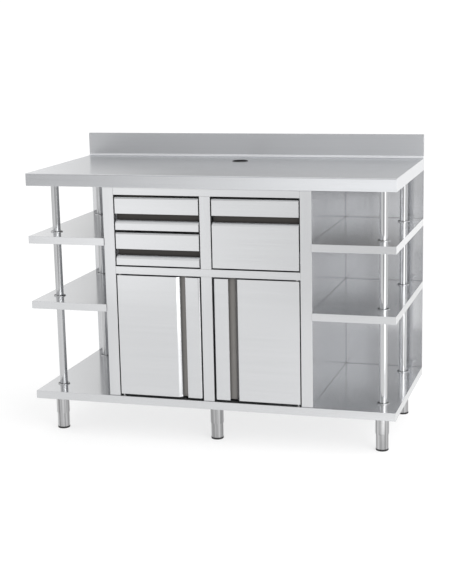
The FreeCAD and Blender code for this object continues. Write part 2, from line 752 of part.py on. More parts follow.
# ---------------------------------------------------------------- the whole station

nodes = {
    "worktop_sheet": worktop_sheet(),
    "worktop_board": worktop_board(),
    "worktop_stiffeners": worktop_stiffeners(),
    "cable_grommet": cable_grommet(),
    "back_panel": back_panel(),
    "bottom_shelf": bottom_shelf(),
}
for end, side in (("left", -1), ("right", 1)):
    for level in ("upper", "lower"):
        name = f"shelf_{end}_{level}"
        nodes[name] = side_shelf(name, side, f"{level}_shelf_height")
    nodes[f"cabinet_side_{end}"] = cabinet_side(f"cabinet_side_{end}", side)

nodes["stile_left"] = frame_bar("stile_left", f"0 - {CABINET_END}", f"0 - {STILE_EDGE}",
                                "bottom_shelf_height", UNDERSIDE, "z")
nodes["stile_right"] = frame_bar("stile_right", STILE_EDGE, CABINET_END,
                                 "bottom_shelf_height", UNDERSIDE, "z")
nodes["top_rail"] = frame_bar("top_rail", f"0 - {STILE_EDGE}", STILE_EDGE, TOP_RAIL_FOOT, UNDERSIDE, "x")
nodes["mid_rail"] = frame_bar("mid_rail", f"0 - {STILE_EDGE}", STILE_EDGE, MID_RAIL_FOOT, "mid_rail_top", "x")
nodes["mullion_upper"] = frame_bar("mullion_upper", f"0 - {MULLION_EDGE}", MULLION_EDGE,
                                   "mid_rail_top", TOP_RAIL_FOOT, "z")
nodes["mullion_lower"] = frame_bar("mullion_lower", f"0 - {MULLION_EDGE}", MULLION_EDGE,
                                   "bottom_shelf_height", MID_RAIL_FOOT, "z")
nodes["drawer_partition"] = drawer_partition()
nodes["drawer_floor"] = drawer_floor()

# Drawers: two shallow ones on the left and a deep one on the right, all between the same two heights.
drawer_top = f"({TOP_RAIL_FOOT} - drawer_top_gap)"
drawer_foot = "(mid_rail_top + drawer_foot_gap)"
deep_height = f"({drawer_top} - {drawer_foot})"
shallow_height = f"(({deep_height} - drawer_gap) / 2)"
lip_part = f"({shallow_height} - drawer_ledge_height - grip_opening)"
drawer_width = f"({STILE_EDGE} - {MULLION_EDGE} - 2 * front_side_gap)"
left_cell = (("outer", f"(0 - {STILE_EDGE})", 1), ("inner", f"(0 - {MULLION_EDGE})", -1))
right_cell = (("inner", MULLION_EDGE, 1), ("outer", STILE_EDGE, -1))
DRAWERS = [
    ("drawer_upper", -1, left_cell, f"({drawer_top} - {shallow_height})", shallow_height),
    ("drawer_lower", -1, left_cell, drawer_foot, shallow_height),
    ("drawer_deep", 1, right_cell, drawer_foot, deep_height),
]
fixed_rails = []
bearers = []
for name, side, walls, foot, front_height in DRAWERS:
    left = f"({walls[0][1]} + front_side_gap)"
    nodes[f"{name}_front"] = drawer_front(name, left, drawer_width, foot, front_height, lip_part)
    nodes[f"{name}_box"] = drawer_box(name, left, drawer_width, foot, front_height)
    members = runner_set(name, foot, walls)
    fixed_rails += members["fixed"]
    nodes[f"{name}_middle_rails"] = group(f"{name}_middle_rails", members["middle"])
    nodes[f"{name}_box_rails"] = group(f"{name}_box_rails", members["drawer"])
    bearers.append(runner_bearer(f"{name}_bearer", foot, side))
nodes["runner_fixed_rails"] = group("runner_fixed_rails", fixed_rails)
nodes["runner_bearers"] = group("runner_bearers", bearers)

# Doors: inset between the stiles and the lower mullion, each on a pivot at its outer edge.
door_foot = "(bottom_shelf_height + door_foot_gap)"
door_top = f"({MID_RAIL_FOOT} - door_top_gap)"
door_height = f"({door_top} - {door_foot})"
door_width = f"({STILE_EDGE} - front_side_gap - {MULLION_EDGE} - door_mullion_gap)"
for name, side in (("door_left", 1), ("door_right", -1)):
    nodes[f"{name}_skin"] = door_skin(name, side, door_foot, door_width, door_height)
    nodes[f"{name}_liner"] = door_liner(name, side, door_foot, door_width, door_height)
    nodes[f"{name}_bushings"] = door_bushings(name, side, door_foot, door_top)
nodes["hinge_pins"] = hinge_pins(door_foot, door_top)
nodes["door_catches"] = door_catches()

for place, side, middle in post_places():
    nodes[f"post_{place}"] = round_tube(f"post_{place}", (f"{side} * {POST_X}", middle),
                                        "bottom_shelf_height", UNDERSIDE, "post_diameter", "post_gauge")
nodes["post_collars"] = post_collars()

holders = []
for place, side, middle in leg_places():
    holders.append(leg_sleeve(place, side, middle))
    nodes[f"leg_{place}"] = leg_tube(place, side, middle)
    nodes[f"foot_{place}"] = leg_foot(place, side, middle)
nodes["leg_sleeves"] = group("leg_sleeves", holders)

# ---------------------------------------------------------------- checks and export

doc.recompute()
for item in doc.Objects:
    if "Invalid" in item.State or "Error" in item.State:
        raise RuntimeError(f"{item.Name} failed: {item.State}")
os.makedirs("parts", exist_ok=True)
for name, item in nodes.items():
    item.Label = name
    if item.Shape.isNull() or not item.Shape.isValid():
        raise RuntimeError(f"{name} has no valid shape")
    item.Shape.exportStep(f"parts/{name}.step")
print(len(nodes), "sub-parts")
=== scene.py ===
import math

import bmesh
import bpy
from mathutils import Matrix, Vector


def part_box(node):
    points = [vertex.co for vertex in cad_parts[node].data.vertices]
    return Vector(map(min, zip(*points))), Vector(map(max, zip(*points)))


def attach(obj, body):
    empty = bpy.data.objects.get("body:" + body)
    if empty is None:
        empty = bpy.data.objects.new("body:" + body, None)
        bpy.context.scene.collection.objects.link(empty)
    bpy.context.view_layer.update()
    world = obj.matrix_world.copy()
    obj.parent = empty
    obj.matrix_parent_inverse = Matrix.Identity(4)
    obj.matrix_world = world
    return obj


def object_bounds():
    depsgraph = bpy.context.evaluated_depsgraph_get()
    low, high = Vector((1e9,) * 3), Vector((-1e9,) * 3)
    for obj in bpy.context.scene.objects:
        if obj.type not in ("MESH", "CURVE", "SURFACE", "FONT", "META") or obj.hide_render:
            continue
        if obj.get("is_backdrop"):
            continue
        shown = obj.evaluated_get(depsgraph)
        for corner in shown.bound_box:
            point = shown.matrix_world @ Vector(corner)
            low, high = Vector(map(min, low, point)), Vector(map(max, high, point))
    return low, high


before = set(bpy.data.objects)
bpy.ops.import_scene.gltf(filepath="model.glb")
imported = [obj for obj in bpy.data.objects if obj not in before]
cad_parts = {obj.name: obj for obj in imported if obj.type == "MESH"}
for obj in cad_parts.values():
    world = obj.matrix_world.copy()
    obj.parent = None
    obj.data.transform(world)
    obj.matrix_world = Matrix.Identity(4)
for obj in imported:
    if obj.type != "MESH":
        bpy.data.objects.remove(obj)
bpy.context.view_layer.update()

# ---------------------------------------------------------------------------------------------
# Worktop: one sheet of 1.5 mm stainless steel, its front and ends folded down, its back folded up
# into the upstand. The satin grain runs along the length. Under it are the glued board and two
# hollow stiffener bars.

MM = 0.001
EVEN = (1.0, 1.0, 1.0)
NOISE_LOW, NOISE_HIGH = 0.3, 0.7


def new_material(name):
    """Material with its nodes, a Principled shader among them, and its links."""
    material = bpy.data.materials.new(name)
    material.use_nodes = True
    return material, material.node_tree.nodes, material.node_tree.links


def noise_pattern(nodes, links, detail, scale=1.0, stretch=EVEN):
    """Noise on the object's own coordinates, even or drawn out along an axis."""
    place = nodes.new("ShaderNodeTexCoord")
    mapping = nodes.new("ShaderNodeMapping")
    mapping.inputs["Scale"].default_value = stretch
    noise = nodes.new("ShaderNodeTexNoise")
    noise.inputs["Scale"].default_value = scale
    noise.inputs["Detail"].default_value = detail
    links.new(place.outputs["Object"], mapping.inputs["Vector"])
    links.new(mapping.outputs["Vector"], noise.inputs["Vector"])
    return noise


def remap(nodes, links, source, low, high):
    """Bring a noise, which lies about one half, to a range of numbers."""
    spread = nodes.new("ShaderNodeMapRange")
    spread.inputs["From Min"].default_value = NOISE_LOW
    spread.inputs["From Max"].default_value = NOISE_HIGH
    spread.inputs["To Min"].default_value = low
    spread.inputs["To Max"].default_value = high
    links.new(source.outputs["Fac"], spread.inputs["Value"])
    return spread.outputs["Result"]


def blend_colours(nodes, links, source, dark, light):
    """Bring a noise to a range between two colours."""
    ramp = nodes.new("ShaderNodeValToRGB")
    ramp.color_ramp.elements[0].position = NOISE_LOW
    ramp.color_ramp.elements[1].position = NOISE_HIGH
    ramp.color_ramp.elements[0].color = (*dark, 1)
    ramp.color_ramp.elements[1].color = (*light, 1)
    links.new(source.outputs["Fac"], ramp.inputs["Fac"])
    return ramp.outputs["Color"]


def bump(nodes, links, source, distance, base=None):
    """Raise the surface by a noise, on top of an earlier bump."""
    height = nodes.new("ShaderNodeBump")
    height.inputs["Strength"].default_value = 1.0
    height.inputs["Distance"].default_value = distance
    links.new(source.outputs["Fac"], height.inputs["Height"])
    if base:
        links.new(base, height.inputs["Normal"])
    return height.outputs["Normal"]


def shaded(nodes, links, colour, amount):
    """Multiply a colour by an amount, which is below 1 where it gets darker."""
    product = nodes.new("ShaderNodeMixRGB")
    product.blend_type = "MULTIPLY"
    product.inputs["Fac"].default_value = 1.0
    links.new(colour, product.inputs["Color1"])
    links.new(amount, product.inputs["Color2"])
    return product.outputs["Color"]


CORNER_SAMPLES = 6
CORNER_OPENNESS, FREE_OPENNESS = 0.45, 0.85


def painted_corner_shade(nodes, links, reach, darkest):
    """Painted shade that darkens inner corners, gaps and the metal under rings, as a share of the
    colour.
    """
    corner = nodes.new("ShaderNodeAmbientOcclusion")
    corner.samples = CORNER_SAMPLES
    corner.inputs["Distance"].default_value = reach
    amount = nodes.new("ShaderNodeMapRange")
    amount.inputs["From Min"].default_value = CORNER_OPENNESS
    amount.inputs["From Max"].default_value = FREE_OPENNESS
    amount.inputs["To Min"].default_value = darkest
    amount.inputs["To Max"].default_value = 1.0
    links.new(corner.outputs["AO"], amount.inputs["Value"])
    return amount.outputs["Result"]


CHANGE_HEIGHT = 2 * MM


def change_above(nodes, links, height, below, above):
    """Number that changes at a height of the sheet."""
    place = nodes.new("ShaderNodeTexCoord")
    parts = nodes.new("ShaderNodeSeparateXYZ")
    amount = nodes.new("ShaderNodeMapRange")
    amount.inputs["From Min"].default_value = height
    amount.inputs["From Max"].default_value = height + CHANGE_HEIGHT
    amount.inputs["To Min"].default_value = below
    amount.inputs["To Max"].default_value = above
    links.new(place.outputs["Object"], parts.inputs["Vector"])
    links.new(parts.outputs["Z"], amount.inputs["Value"])
    return amount.outputs["Result"]


def upstand_painted_light(nodes, links, tint, dullness, foot, top, cove_highlight, upstand_shade, extra_roughness):
    """Paint a highlight on the cove at the upstand's foot and shade on the sheet above it, which is
    also duller.
    """
    tint = shaded(nodes, links, tint, change_above(nodes, links, foot, 1.0, cove_highlight))
    tint = shaded(nodes, links, tint, change_above(nodes, links, top, 1.0, upstand_shade / cove_highlight))
    total = nodes.new("ShaderNodeMath")
    links.new(dullness, total.inputs[0])
    links.new(change_above(nodes, links, top, 0.0, extra_roughness), total.inputs[1])
    return tint, total.outputs["Value"]


def leaning_edge(nodes, links, bottom, top, lean, base):
    """Lean a folded edge back by a few degrees, as the spring of the sheet leaves it."""
    place = nodes.new("ShaderNodeTexCoord")
    parts = nodes.new("ShaderNodeSeparateXYZ")
    fall = nodes.new("ShaderNodeMapRange")
    fall.inputs["From Min"].default_value = bottom
    fall.inputs["From Max"].default_value = top
    fall.inputs["To Min"].default_value = 1.0
    fall.inputs["To Max"].default_value = 0.0
    height = nodes.new("ShaderNodeBump")
    height.inputs["Strength"].default_value = 1.0
    height.inputs["Distance"].default_value = (top - bottom) * math.tan(lean)
    links.new(place.outputs["Object"], parts.inputs["Vector"])
    links.new(parts.outputs["Z"], fall.inputs["Value"])
    links.new(fall.outputs["Result"], height.inputs["Height"])
    links.new(base, height.inputs["Normal"])
    return height.outputs["Normal"]


SATIN_GREY = (0.686, 0.693, 0.706)
SATIN_ROUGHNESS = (0.145, 0.175)
SATIN_METALLIC = 0.9
SATIN_SMEAR = 0.4
GRAIN_ACROSS, GRAIN_ALONG = 420.0, 2.5
GRAIN_CONTRAST = 0.02
GRAIN_HEIGHT = 0.003 * MM
LINES_PER_PASS = 12
PASS_TONE = 0.98
PATCH_SCALE = 2.2
PATCH_TONE = 0.97
SHEET_WAVE = 0.6 * MM
FOLD_RADIUS = 1.6 * MM
FOLD_SAMPLES = 4
# Painted shade in inner corners and gaps: how far it reaches and how dark it gets.
CORNER_SHADE_REACH = 8 * MM
CORNER_SHADE_TONE = 0.72


def satin_steel(name, grain, colour=SATIN_GREY, roughness=SATIN_ROUGHNESS, shade_depth=CORNER_SHADE_TONE,
                folded_edge=None, upstand=None):
    """Brushed stainless sheet: grain lines along one axis in wider passes of the brush, a faint
    wave of the thin metal, and reflections that smear across the grain."""
    material, nodes, links = new_material(name)
    shader = nodes["Principled BSDF"]
    shader.inputs["Metallic"].default_value = SATIN_METALLIC
    shader.inputs["Anisotropic"].default_value = SATIN_SMEAR
    stretch = [GRAIN_ALONG if axis == grain else GRAIN_ACROSS for axis in "XYZ"]
    lines = noise_pattern(nodes, links, detail=3.0, stretch=stretch)
    patches = noise_pattern(nodes, links, detail=1.0, scale=PATCH_SCALE)
    dark = [part * (1 - GRAIN_CONTRAST) for part in colour]
    light = [part * (1 + GRAIN_CONTRAST) for part in colour]
    tint = blend_colours(nodes, links, lines, dark, light)
    wide = [part / LINES_PER_PASS for part in stretch]
    passes = noise_pattern(nodes, links, detail=2.0, stretch=wide)
    tint = shaded(nodes, links, tint, remap(nodes, links, passes, PASS_TONE, 1.0))
    tint = shaded(nodes, links, tint, remap(nodes, links, patches, PATCH_TONE, 1.0))
    dullness = remap(nodes, links, lines, *roughness)
    # Painted highlight on the cove and painted shade on the upstand above it.
    if upstand:
        tint, dullness = upstand_painted_light(nodes, links, tint, dullness, *upstand)
    # Painted shade: the colour darkens in inner corners and gaps, where shade falls.
    if shade_depth:
        tint = shaded(nodes, links, tint, painted_corner_shade(nodes, links, CORNER_SHADE_REACH, shade_depth))
    links.new(tint, shader.inputs["Base Color"])
    links.new(dullness, shader.inputs["Roughness"])
    edge = nodes.new("ShaderNodeBevel")
    edge.samples = FOLD_SAMPLES
    edge.inputs["Radius"].default_value = FOLD_RADIUS
    waved = bump(nodes, links, patches, SHEET_WAVE, edge.outputs["Normal"])
    if folded_edge:
        waved = leaning_edge(nodes, links, *folded_edge, waved)
    links.new(bump(nodes, links, lines, GRAIN_HEIGHT, waved), shader.inputs["Normal"])
    across = nodes.new("ShaderNodeCombineXYZ")
    for axis in "XYZ":
        across.inputs[axis].default_value = 0.0 if axis == grain else 1.0
    links.new(across.outputs["Vector"], shader.inputs["Tangent"])
    return material


def finish(material, *names):
    """Give CAD nodes their material."""
    for name in names:
        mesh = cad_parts[name].data
        mesh.materials.clear()
        mesh.materials.append(material)


WORKTOP_HEIGHT = 1090 * MM
FOLDED_EDGE = 50 * MM
EDGE_LEAN = math.radians(5.5)
WORKTOP_GREY = (0.67, 0.68, 0.70)
WORKTOP_ROUGHNESS = (0.20, 0.25)
COVE_FOOT = WORKTOP_HEIGHT + 0.5 * MM
COVE_TOP = WORKTOP_HEIGHT + 9 * MM
# The cove's brighter colour is a painted highlight, and the upstand's darker colour is painted
# shade.
COVE_PAINTED_HIGHLIGHT = 1.3
UPSTAND_PAINTED_SHADE = 0.835
UPSTAND_EXTRA_ROUGHNESS = 0.16
worktop_steel = satin_steel(
    "satin_worktop", "X", WORKTOP_GREY, WORKTOP_ROUGHNESS, shade_depth=None,
    folded_edge=(WORKTOP_HEIGHT - FOLDED_EDGE, WORKTOP_HEIGHT, EDGE_LEAN),
    upstand=(COVE_FOOT, COVE_TOP, COVE_PAINTED_HIGHLIGHT, UPSTAND_PAINTED_SHADE, UPSTAND_EXTRA_ROUGHNESS))
finish(worktop_steel, "worktop_sheet")
sheet_steel = satin_steel("satin_sheet", "X")
finish(sheet_steel, "worktop_stiffeners")

CHIP_SCALE = 220.0
CHIP_HEIGHT = 0.4 * MM
CHIP_DARK, CHIP_LIGHT = (0.26, 0.235, 0.20), (0.42, 0.385, 0.335)
CHIP_ROUGHNESS = 0.85
particle_board, nodes, links = new_material("particle_board")
shader = nodes["Principled BSDF"]
chips = noise_pattern(nodes, links, detail=3.0, scale=CHIP_SCALE)
links.new(blend_colours(nodes, links, chips, CHIP_DARK, CHIP_LIGHT), shader.inputs["Base Color"])
links.new(bump(nodes, links, chips, CHIP_HEIGHT), shader.inputs["Normal"])
shader.inputs["Roughness"].default_value = CHIP_ROUGHNESS
finish(particle_board, "worktop_board")

# ---------------------------------------------------------------------------------------------
# Cable outlet: a ring moulded from black plastic, pressed into a round hole of the worktop near
# the upstand. Leads of machines on the worktop go down through it.

PORE_SCALE = 900.0
PORE_HEIGHT = 0.06 * MM
PORE_DARK, PORE_LIGHT = 0.85, 1.2
ROUGHNESS_SPREAD = 0.06
RECESS_SHADE_REACH = 20 * MM


def moulded_plastic(name, colour, roughness, recess_shading=None):
    """Moulded plastic or rubber with fine pores, and painted shade darkening its inner corners and
    recesses if asked."""
    material, nodes, links = new_material(name)
    shader = nodes["Principled BSDF"]
    pores = noise_pattern(nodes, links, detail=3.0, scale=PORE_SCALE)
    dark = [part * PORE_DARK for part in colour]
    light = [min(part * PORE_LIGHT, 1.0) for part in colour]
    tint = blend_colours(nodes, links, pores, dark, light)
    # Painted shade: darker in inner corners and recesses.
    if recess_shading:
        tint = shaded(nodes, links, tint, painted_corner_shade(nodes, links, RECESS_SHADE_REACH, recess_shading))
    links.new(tint, shader.inputs["Base Color"])
    links.new(remap(nodes, links, pores, roughness - ROUGHNESS_SPREAD,
                    roughness + ROUGHNESS_SPREAD), shader.inputs["Roughness"])
    links.new(bump(nodes, links, pores, PORE_HEIGHT), shader.inputs["Normal"])
    return material


BLACK = (0.012, 0.012, 0.013)
black_plastic = moulded_plastic("black_plastic", BLACK, roughness=0.5)
finish(black_plastic, "cable_grommet")

# ---------------------------------------------------------------------------------------------
# Back panel and cabinet sides: flat stainless sheets with the grain upright. The back panel covers
# the whole back and is welded to the worktop and the shelves. The sides are welded to it.

PANEL_GREY = (0.65, 0.657, 0.672)
panel_steel = satin_steel("satin_panel", "Z", PANEL_GREY)
finish(panel_steel, "back_panel", "cabinet_side_left", "cabinet_side_right")

# ---------------------------------------------------------------------------------------------
# Shelves: the full-length bottom shelf, which carries the cabinet, and two shelves in each open
# bay. Each is one stainless sheet with its edges folded down, and the posts go through the small
# ones.

finish(sheet_steel, "bottom_shelf", "shelf_left_upper", "shelf_left_lower", "shelf_right_upper",
       "shelf_right_lower")

# ---------------------------------------------------------------------------------------------
# Cabinet frame: stiles, rails and mullions folded from stainless sheet to box sections, flush with
# each other and welded where they meet. The welds are ground flat and show as thin dull lines.
# Behind the frame are the drawer floor, the partition and the runners' bearers.

upright_steel = satin_steel("satin_sheet_upright", "Z")
finish(upright_steel, "stile_left", "stile_right", "mullion_upper", "mullion_lower")
finish(sheet_steel, "top_rail", "mid_rail", "drawer_partition", "drawer_floor", "runner_bearers")


def bare_metal(name, dark, light, roughness, scale=1.0, stretch=EVEN, height=None, gap_shading=None):
    """Metal that isn't brushed: its colour, dullness and relief follow one noise. Painted shade
    darkens its inner corners and gaps if asked."""
    material, nodes, links = new_material(name)
    shader = nodes["Principled BSDF"]
    shader.inputs["Metallic"].default_value = 1.0
    marks = noise_pattern(nodes, links, detail=2.0, scale=scale, stretch=stretch)
    tint = blend_colours(nodes, links, marks, dark, light)
    # Painted shade: darker in inner corners and gaps.
    if gap_shading:
        tint = shaded(nodes, links, tint, painted_corner_shade(nodes, links, CORNER_SHADE_REACH, gap_shading))
    links.new(tint, shader.inputs["Base Color"])
    links.new(remap(nodes, links, marks, *roughness), shader.inputs["Roughness"])
    if height:
        links.new(bump(nodes, links, marks, height), shader.inputs["Normal"])
    return material


WELD_DARK, WELD_LIGHT = (0.26, 0.255, 0.25), (0.42, 0.415, 0.41)
weld_steel = bare_metal("ground_weld", WELD_DARK, WELD_LIGHT, roughness=(0.3, 0.45), scale=500.0,
                        height=0.08 * MM)

WELD_WIDTH = 0.8 * MM
WELD_PROUD = 0.08 * MM
OUTWARD = Vector((0, -1, 0))


def weld_lines(name, seams, material):
    """Ground welds as one mesh: each seam runs between two points of the frame's front face and
    stands a hair proud, with its crown half as wide as its foot."""
    shape = bmesh.new()
    for start, end in seams:
        start, end = Vector(start), Vector(end)
        along = (end - start).normalized()
        aside = along.cross(OUTWARD) * WELD_WIDTH / 2
        foot, crown = -OUTWARD * WELD_PROUD, OUTWARD * WELD_PROUD
        ring = [shape.verts.new(point + shift) for point in (start, end)
                for shift in (foot - aside, crown - aside / 2, crown + aside / 2, foot + aside)]
        for i in range(4):
            j = (i + 1) % 4
            shape.faces.new([ring[i], ring[j], ring[4 + j], ring[4 + i]])
        shape.faces.new(ring[3::-1])
        shape.faces.new(ring[4:])
    bmesh.ops.recalc_face_normals(shape, faces=shape.faces)
    mesh = bpy.data.meshes.new(name)
    shape.to_mesh(mesh)
    shape.free()
    mesh.materials.append(material)
    piece = bpy.data.objects.new(name, mesh)
    bpy.context.scene.collection.objects.link(piece)
    return piece


front_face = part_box("top_rail")[0].y
seams = []
for rail in ("top_rail", "mid_rail"):
    low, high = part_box(rail)
    for x in (low.x, high.x):
        seams.append(((x, front_face, low.z), (x, front_face, high.z)))
for mullion, at_top in (("mullion_upper", True), ("mullion_upper", False), ("mullion_lower", True)):
    low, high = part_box(mullion)
    z = high.z if at_top else low.z
    seams.append(((low.x, front_face, z), (high.x, front_face, z)))
welds = weld_lines("frame_welds", seams, weld_steel)
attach(welds, "root")

# ---------------------------------------------------------------------------------------------
# Drawers: two shallow ones on the left and a deep one on the right. Each has a hollow front folded
# from stainless sheet with a grip channel across it, and a tray on a pair of telescopic runners of
# zinc-plated steel. A dark strip of painted shade lines the back of the channel, where the steel is
# in shade.

DRAWERS = ("drawer_upper", "drawer_lower", "drawer_deep")
for name in DRAWERS:
    finish(sheet_steel, f"{name}_front", f"{name}_box")

ZINC_DARK, ZINC_LIGHT = (0.50, 0.51, 0.53), (0.66, 0.67, 0.69)
zinc_plate = bare_metal("zinc_plate", ZINC_DARK, ZINC_LIGHT, roughness=(0.30, 0.46), scale=120.0)
finish(zinc_plate, "runner_fixed_rails")
for name in DRAWERS:
    finish(zinc_plate, f"{name}_middle_rails", f"{name}_box_rails")

# A dark strip of painted shade lines the back of each drawer's grip channel, darker still in its
# corners.
DRAWER_CHANNEL_SHADE_BLACK = (0.04, 0.035, 0.031)
drawer_channel_shade = moulded_plastic("drawer_channel_shade", DRAWER_CHANNEL_SHADE_BLACK, roughness=0.55, recess_shading=0.3)
CHANNEL_DEPTH = 24 * MM
CHANNEL_OPENING = 38 * MM
CHANNEL_BEVEL = 12 * MM
CHANNEL_UNDERCUT = 12 * MM
CHANNEL_LIP = 5 * MM
STRIP_WALL = 1 * MM
STRIP_CLEARANCE = 0.1 * MM


def strip_outline(lip, toward_lip):
    """Corners of the strip of painted shade, as place along the front and depth behind its face."""
    foot = lip - toward_lip * (CHANNEL_OPENING - CHANNEL_BEVEL - STRIP_CLEARANCE)
    head = lip + toward_lip * (CHANNEL_UNDERCUT - STRIP_CLEARANCE)
    back = CHANNEL_DEPTH - STRIP_CLEARANCE
    under = head - toward_lip * STRIP_WALL
    front = CHANNEL_LIP + STRIP_CLEARANCE
    return [(foot, back), (head, back), (head, front), (under, front),
            (under, back - STRIP_WALL), (foot, back - STRIP_WALL)]


def extruded(name, corners, direction, material):
    """Closed prism: corners are points of its first end, direction leads to the other end."""
    count = len(corners)
    points = corners + [corner + direction for corner in corners]
    faces = [list(range(count)), list(range(2 * count - 1, count - 1, -1))]
    faces += [[i, (i + 1) % count, count + (i + 1) % count, count + i] for i in range(count)]
    mesh = bpy.data.meshes.new(name)
    mesh.from_pydata([tuple(point) for point in points], [], faces)
    shape = bmesh.new()
    shape.from_mesh(mesh)
    bmesh.ops.recalc_face_normals(shape, faces=shape.faces)
    shape.to_mesh(mesh)
    shape.free()
    mesh.materials.append(material)
    piece = bpy.data.objects.new(name, mesh)
    bpy.context.scene.collection.objects.link(piece)
    return piece


def ride_in(piece, body):
    """Join a strip of painted shade to the drawer or door whose channel it lines."""
    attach(piece, body)


# The deep drawer's channel is level with the upper drawer's.
DRAWER_LEDGE_HEIGHT = 27.5 * MM
for name, level_with in (("drawer_upper", "drawer_upper"), ("drawer_lower", "drawer_lower"),
                         ("drawer_deep", "drawer_upper")):
    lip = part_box(f"{level_with}_front")[0].z + DRAWER_LEDGE_HEIGHT + CHANNEL_OPENING
    low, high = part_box(f"{name}_front")
    corners = [Vector((low.x, low.y + depth, along)) for along, depth in strip_outline(lip, 1)]
    strip = extruded(f"{name}_channel_shade_strip", corners, Vector((high.x - low.x, 0, 0)), drawer_channel_shade)
    ride_in(strip, name)

# ---------------------------------------------------------------------------------------------
# Doors: two hollow doors, each a folded skin and liner of stainless sheet with a grip channel along
# its free edge. A grey strip of painted shade lines the back of the channel, where the steel is in
# shade. They turn on flanged steel pins in nylon bushings and are held shut by black catches.

DOOR_LIP_PART = 60 * MM
# A grey strip of painted shade lines the back of each door's grip channel, darker still in its
# corners.
DOOR_CHANNEL_SHADE_GREY = (0.26, 0.248, 0.236)
door_channel_shade = moulded_plastic("door_channel_shade", DOOR_CHANNEL_SHADE_GREY, roughness=0.4, recess_shading=0.45)
for name, side in (("door_left", 1), ("door_right", -1)):
    finish(sheet_steel, f"{name}_skin", f"{name}_liner")
    low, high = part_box(f"{name}_skin")
    lip = high.x - DOOR_LIP_PART if side > 0 else low.x + DOOR_LIP_PART
    corners = [Vector((along, low.y + depth, low.z)) for along, depth in strip_outline(lip, side)]
    strip = extruded(f"{name}_channel_shade_strip", corners, Vector((0, 0, high.z - low.z)), door_channel_shade)
    ride_in(strip, name)

NYLON_WHITE = (0.78, 0.76, 0.70)
nylon = moulded_plastic("nylon", NYLON_WHITE, roughness=0.45)
finish(nylon, "door_left_bushings", "door_right_bushings")

TURNED_DARK, TURNED_LIGHT = (0.58, 0.58, 0.59), (0.70, 0.70, 0.71)
TURNING_MARKS = (40.0, 40.0, 900.0)
# Painted shade darkens the pins and bolts in their gaps and inner corners.
turned_steel = bare_metal("turned_steel", TURNED_DARK, TURNED_LIGHT, roughness=(0.2, 0.32),
                          stretch=TURNING_MARKS, gap_shading=0.12)
finish(turned_steel, "hinge_pins")
finish(black_plastic, "door_catches")

# ---------------------------------------------------------------------------------------------
# Posts: four tubes of drawn and polished stainless steel, one near each outer corner, from the
# bottom shelf to the worktop. They go through the open shelves, and a thin ring closes the hole
# at each shelf.

POLISHED_SMEAR = 0.4
POLISHING_RINGS = (4.0, 4.0, 160.0)
DRAWN_STREAKS = (110.0, 110.0, 0.6)


def polished_steel(name, colour, roughness, streaks):
    """Drawn stainless tube with streaks along its length, polished round its girth, so that
    reflections draw out along it."""
    material, nodes, links = new_material(name)
    shader = nodes["Principled BSDF"]
    shader.inputs["Metallic"].default_value = 1.0
    shader.inputs["Anisotropic"].default_value = POLISHED_SMEAR
    rings = noise_pattern(nodes, links, detail=2.0, stretch=POLISHING_RINGS)
    drawn = noise_pattern(nodes, links, detail=1.5, stretch=DRAWN_STREAKS)
    dark = [part * (1 - streaks) for part in colour]
    light = [min(part * (1 + streaks), 1.0) for part in colour]
    links.new(blend_colours(nodes, links, drawn, dark, light), shader.inputs["Base Color"])
    links.new(remap(nodes, links, rings, *roughness), shader.inputs["Roughness"])
    along = nodes.new("ShaderNodeCombineXYZ")
    along.inputs["Z"].default_value = 1.0
    links.new(along.outputs["Vector"], shader.inputs["Tangent"])
    return material


POST_GREY = (0.57, 0.575, 0.585)
polished_tube = polished_steel("polished_tube", POST_GREY, roughness=(0.10, 0.13), streaks=0.07)
finish(polished_tube, "post_front_left", "post_front_right", "post_rear_left", "post_rear_right",
       "post_collars")

# ---------------------------------------------------------------------------------------------
# Legs: six round legs of stainless tube. An inner tube on a black plastic foot slides in a sleeve.
# The sleeve is welded round its top to a plate, which four hexagon bolts on washers hold to the
# bottom shelf.

LEGS = [f"{depth}_{end}" for depth in ("front", "rear") for end in ("left", "middle", "right")]
LEG_GREY = (0.47, 0.47, 0.475)
leg_tube = polished_steel("leg_tube", LEG_GREY, roughness=(0.14, 0.2), streaks=0.36)
finish(leg_tube, "leg_sleeves")
for leg in LEGS:
    finish(leg_tube, f"leg_{leg}")
    finish(black_plastic, f"foot_{leg}")


def node_tree(name, numbers):
    """Geometry Nodes tree with a geometry input and output and named number inputs."""
    tree = bpy.data.node_groups.new(name, "GeometryNodeTree")
    tree.interface.new_socket("Geometry", in_out="INPUT", socket_type="NodeSocketGeometry")
    tree.interface.new_socket("Geometry", in_out="OUTPUT", socket_type="NodeSocketGeometry")
    sockets = {}
    for label in numbers:
        kind = "NodeSocketInt" if label.endswith("Count") else "NodeSocketFloat"
        socket = tree.interface.new_socket(label, in_out="INPUT", socket_type=kind)
        sockets[label] = socket.identifier
    return tree, sockets, tree.nodes.new("NodeGroupInput"), tree.nodes.new("NodeGroupOutput")


def finish_tree(tree, geometry, output, material):
    """End a tree: make its instances real and give them their material."""
    realize = tree.nodes.new("GeometryNodeRealizeInstances")
    paint = tree.nodes.new("GeometryNodeSetMaterial")
    paint.inputs["Material"].default_value = material
    tree.links.new(geometry, realize.inputs["Geometry"])
    tree.links.new(realize.outputs["Geometry"], paint.inputs["Geometry"])
    tree.links.new(paint.outputs["Geometry"], output.inputs["Geometry"])


